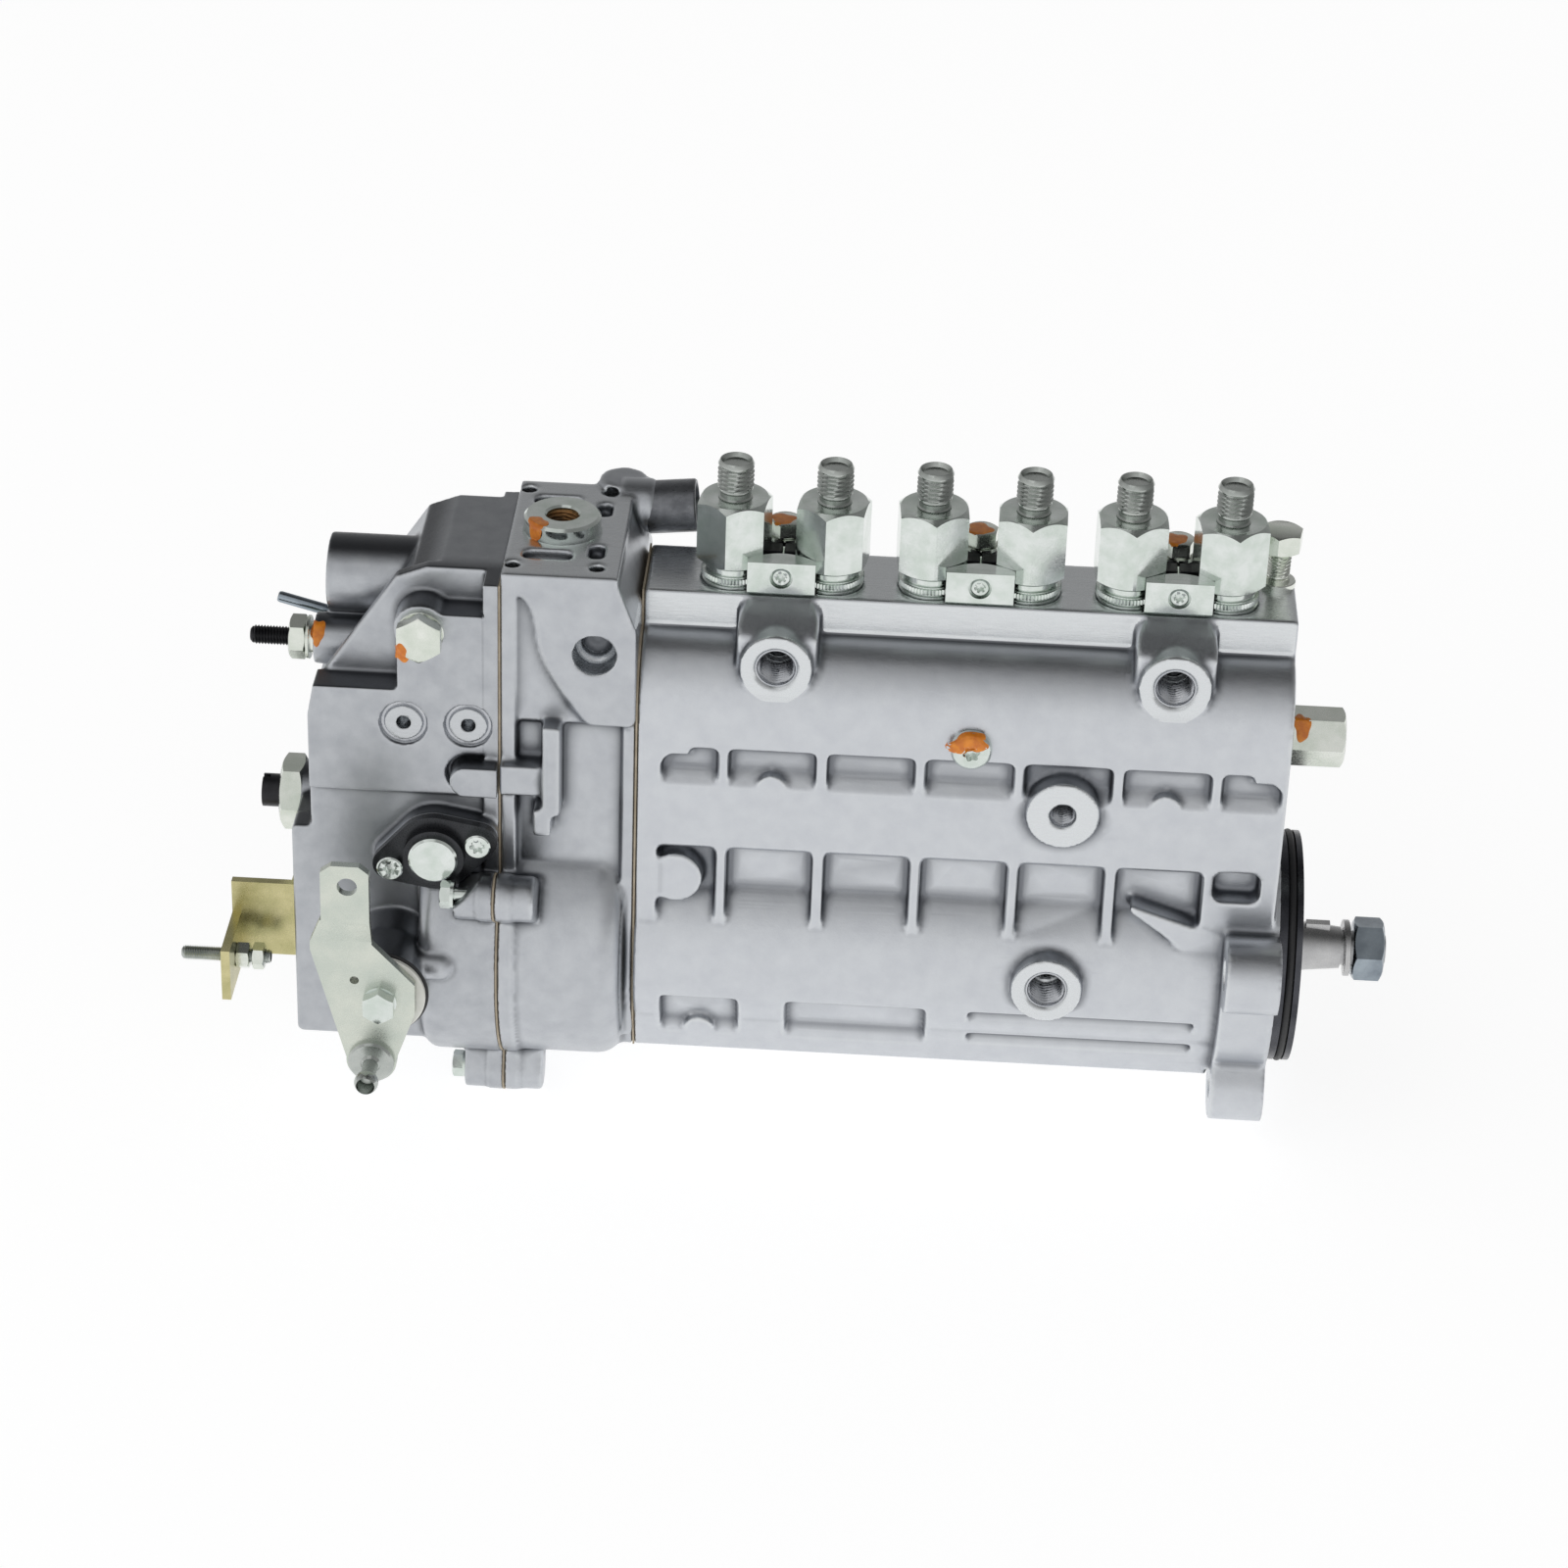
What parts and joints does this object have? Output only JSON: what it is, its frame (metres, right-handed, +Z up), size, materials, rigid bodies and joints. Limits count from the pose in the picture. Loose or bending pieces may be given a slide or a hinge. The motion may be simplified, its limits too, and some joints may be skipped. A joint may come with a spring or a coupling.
{
  "type": "diesel injection pump",
  "caption": "In-line diesel fuel injection pump with plunger elements, camshaft, flange mounting and a mechanical governor with control lever.",
  "frame": {"origin": "where the camshaft axis meets the machined face of the mounting flange", "axes": "+X along the camshaft towards the drive end, +Z up along the plungers, -Y to the side with the fuel ports"},
  "size_m": [0.4042, 0.1443, 0.233],
  "materials": {
    "cast_aluminium": "sand-cast, satin",
    "machined_steel": "turned",
    "hardened_steel": "ground",
    "zinc_plate": "bright zinc plated",
    "yellow_zinc": "yellow chromated",
    "black_steel": "black oxide",
    "spring_steel": "drawn wire",
    "gasket_paper": "fibre",
    "black_rubber": "matte",
    "white_nylon": "satin"
  },
  "bodies": {
    "root": {"pump_housing": "cast_aluminium", "inspection_cover": "zinc_plate", "bearing_end_plate": "cast_aluminium", "oil_seals": "black_rubber", "bearing_outer_races": "hardened_steel", "plunger_barrels": "hardened_steel", "upper_spring_seats": "machined_steel", "plunger_springs": "spring_steel", "delivery_valves": "hardened_steel", "delivery_valve_holders": "zinc_plate", "clamp_jaws": "machined_steel", "socket_screws": "zinc_plate", "screw_plugs": "zinc_plate", "rack_cap": "zinc_plate", "rack_guide_screw": "zinc_plate", "governor_gaskets": "gasket_paper", "governor_housing": "cast_aluminium", "top_ring_insert": "zinc_plate", "governor_cover": "cast_aluminium", "joint_bolts": "zinc_plate", "stop_plate": "black_steel", "stop_plate_plug": "zinc_plate", "lever_spacer": "white_nylon", "governor_spring": "spring_steel", "full_load_stop_screw": "zinc_plate", "idle_stop_screw": "black_steel", "cable_bracket": "yellow_zinc", "bracket_screw": "black_steel"},
    "camshaft": {"camshaft": "machined_steel", "bearing_inner_races": "hardened_steel", "lock_washer": "black_steel", "shaft_nut": "zinc_plate", "flyweight_carrier": "machined_steel"},
    "flyweight_1": {"flyweight_1": "machined_steel"},
    "flyweight_2": {"flyweight_2": "machined_steel"},
    "governor_sleeve": {"governor_sleeve": "hardened_steel"},
    "control_rack": {"control_rack": "hardened_steel"},
    "guide_lever": {"guide_lever": "machined_steel"},
    "floating_lever": {"floating_lever": "machined_steel"},
    "control_lever": {"control_lever": "zinc_plate", "lever_fittings": "zinc_plate", "lever_shaft": "machined_steel"},
    "control_sleeve_1": {"control_sleeve_1": "hardened_steel"},
    "plunger_1": {"plunger_1": "hardened_steel"},
    "tappet_1": {"tappet_1": "machined_steel"},
    "control_sleeve_2": {"control_sleeve_2": "hardened_steel"},
    "plunger_2": {"plunger_2": "hardened_steel"},
    "tappet_2": {"tappet_2": "machined_steel"},
    "control_sleeve_3": {"control_sleeve_3": "hardened_steel"},
    "plunger_3": {"plunger_3": "hardened_steel"},
    "tappet_3": {"tappet_3": "machined_steel"},
    "control_sleeve_4": {"control_sleeve_4": "hardened_steel"},
    "plunger_4": {"plunger_4": "hardened_steel"},
    "tappet_4": {"tappet_4": "machined_steel"},
    "control_sleeve_5": {"control_sleeve_5": "hardened_steel"},
    "plunger_5": {"plunger_5": "hardened_steel"},
    "tappet_5": {"tappet_5": "machined_steel"},
    "control_sleeve_6": {"control_sleeve_6": "hardened_steel"},
    "plunger_6": {"plunger_6": "hardened_steel"},
    "tappet_6": {"tappet_6": "machined_steel"}
  },
  "joints": [
    {"name": "camshaft_spin", "type": "hinge", "parent": "root", "child": "camshaft", "pos_m": [0, 0, 0], "axis": [1, 0, 0], "continuous": true},
    {"name": "rack_slide", "type": "slide", "parent": "root", "child": "control_rack", "axis": [1, 0, 0], "range_m": [-0.021, 0]},
    {"name": "control_sleeve_1_turn", "type": "hinge", "parent": "root", "child": "control_sleeve_1", "pos_m": [-0.025, 0, 0.057], "axis": [0, 0, 1], "range_deg": [-101.3, 0]},
    {"name": "tappet_1_slide", "type": "slide", "parent": "root", "child": "tappet_1", "axis": [0, 0, 1], "range_m": [-0.0044, 0], "deforming": ["plunger_springs"]},
    {"name": "plunger_1_slide", "type": "slide", "parent": "control_sleeve_1", "child": "plunger_1", "axis": [0, 0, 1], "range_m": [-0.0044, 0]},
    {"name": "control_sleeve_2_turn", "type": "hinge", "parent": "root", "child": "control_sleeve_2", "pos_m": [-0.057, 0, 0.057], "axis": [0, 0, 1], "range_deg": [-101.3, 0]},
    {"name": "tappet_2_slide", "type": "slide", "parent": "root", "child": "tappet_2", "axis": [0, 0, -1], "range_m": [0, 0.008], "deforming": ["plunger_springs"]},
    {"name": "plunger_2_slide", "type": "slide", "parent": "control_sleeve_2", "child": "plunger_2", "axis": [0, 0, -1], "range_m": [0, 0.008]},
    {"name": "control_sleeve_3_turn", "type": "hinge", "parent": "root", "child": "control_sleeve_3", "pos_m": [-0.089, 0, 0.057], "axis": [0, 0, 1], "range_deg": [-101.3, 0]},
    {"name": "tappet_3_slide", "type": "slide", "parent": "root", "child": "tappet_3", "axis": [0, 0, 1], "range_m": [-0.008, 0], "deforming": ["plunger_springs"]},
    {"name": "plunger_3_slide", "type": "slide", "parent": "control_sleeve_3", "child": "plunger_3", "axis": [0, 0, 1], "range_m": [-0.008, 0]},
    {"name": "control_sleeve_4_turn", "type": "hinge", "parent": "root", "child": "control_sleeve_4", "pos_m": [-0.121, 0, 0.057], "axis": [0, 0, 1], "range_deg": [-101.3, 0]},
    {"name": "tappet_4_slide", "type": "slide", "parent": "root", "child": "tappet_4", "axis": [0, 0, 1], "range_m": [-0.0044, 0], "deforming": ["plunger_springs"]},
    {"name": "plunger_4_slide", "type": "slide", "parent": "control_sleeve_4", "child": "plunger_4", "axis": [0, 0, 1], "range_m": [-0.0044, 0]},
    {"name": "control_sleeve_5_turn", "type": "hinge", "parent": "root", "child": "control_sleeve_5", "pos_m": [-0.153, 0, 0.057], "axis": [0, 0, 1], "range_deg": [-101.3, 0]},
    {"name": "tappet_5_slide", "type": "slide", "parent": "root", "child": "tappet_5", "axis": [0, 0, 1], "range_m": [-0.008, 0], "deforming": ["plunger_springs"]},
    {"name": "plunger_5_slide", "type": "slide", "parent": "control_sleeve_5", "child": "plunger_5", "axis": [0, 0, 1], "range_m": [-0.008, 0]},
    {"name": "control_sleeve_6_turn", "type": "hinge", "parent": "root", "child": "control_sleeve_6", "pos_m": [-0.185, 0, 0.057], "axis": [0, 0, 1], "range_deg": [-101.3, 0]},
    {"name": "tappet_6_slide", "type": "slide", "parent": "root", "child": "tappet_6", "axis": [0, 0, 1], "range_m": [-0.008, 0], "deforming": ["plunger_springs"]},
    {"name": "plunger_6_slide", "type": "slide", "parent": "control_sleeve_6", "child": "plunger_6", "axis": [0, 0, 1], "range_m": [-0.008, 0]},
    {"name": "flyweight_1_pivot", "type": "hinge", "parent": "camshaft", "child": "flyweight_1", "pos_m": [-0.225, 0, 0.022], "axis": [0, 1, 0], "range_deg": [0, 27.5]},
    {"name": "flyweight_2_pivot", "type": "hinge", "parent": "camshaft", "child": "flyweight_2", "pos_m": [-0.225, 0, -0.022], "axis": [0, -1, 0], "range_deg": [0, 27.5]},
    {"name": "governor_sleeve_slide", "type": "slide", "parent": "root", "child": "governor_sleeve", "axis": [1, 0, 0], "range_m": [-0.00535, 0]},
    {"name": "guide_lever_pivot", "type": "hinge", "parent": "root", "child": "guide_lever", "pos_m": [-0.2695, 0, 0.104], "axis": [0, 1, 0], "range_deg": [0, 3.11], "deforming": ["governor_spring"]},
    {"name": "floating_lever_pivot", "type": "hinge", "parent": "root", "child": "floating_lever", "pos_m": [-0.27209, 0, -0.022], "axis": [0, 1, 0], "range_deg": [-10.89, 0]},
    {"name": "control_lever_hinge", "type": "hinge", "parent": "root", "child": "control_lever", "pos_m": [-0.2935, -0.062, 0.0022], "axis": [0, 1, 0], "range_deg": [-15, 30], "deforming": ["governor_spring"]}
  ],
  "couplings": [
    {"joint": "control_sleeve_1_turn", "follows": "rack_slide", "rad_per_m": 83.333},
    {"joint": "plunger_1_slide", "follows": "tappet_1_slide", "ratio": 1},
    {"joint": "control_sleeve_2_turn", "follows": "rack_slide", "rad_per_m": 83.333},
    {"joint": "plunger_2_slide", "follows": "tappet_2_slide", "ratio": 1},
    {"joint": "control_sleeve_3_turn", "follows": "rack_slide", "rad_per_m": 83.333},
    {"joint": "plunger_3_slide", "follows": "tappet_3_slide", "ratio": 1},
    {"joint": "control_sleeve_4_turn", "follows": "rack_slide", "rad_per_m": 83.333},
    {"joint": "plunger_4_slide", "follows": "tappet_4_slide", "ratio": 1},
    {"joint": "control_sleeve_5_turn", "follows": "rack_slide", "rad_per_m": 83.333},
    {"joint": "plunger_5_slide", "follows": "tappet_5_slide", "ratio": 1},
    {"joint": "control_sleeve_6_turn", "follows": "rack_slide", "rad_per_m": 83.333},
    {"joint": "plunger_6_slide", "follows": "tappet_6_slide", "ratio": 1},
    {"joint": "flyweight_1_pivot", "follows": "rack_slide", "rad_per_m": -22.44},
    {"joint": "flyweight_2_pivot", "follows": "rack_slide", "rad_per_m": -22.44},
    {"joint": "governor_sleeve_slide", "follows": "rack_slide", "ratio": 0.25},
    {"joint": "guide_lever_pivot", "follows": "rack_slide", "rad_per_m": -2.5},
    {"joint": "floating_lever_pivot", "follows": "rack_slide", "rad_per_m": 8.9686}
  ]
}
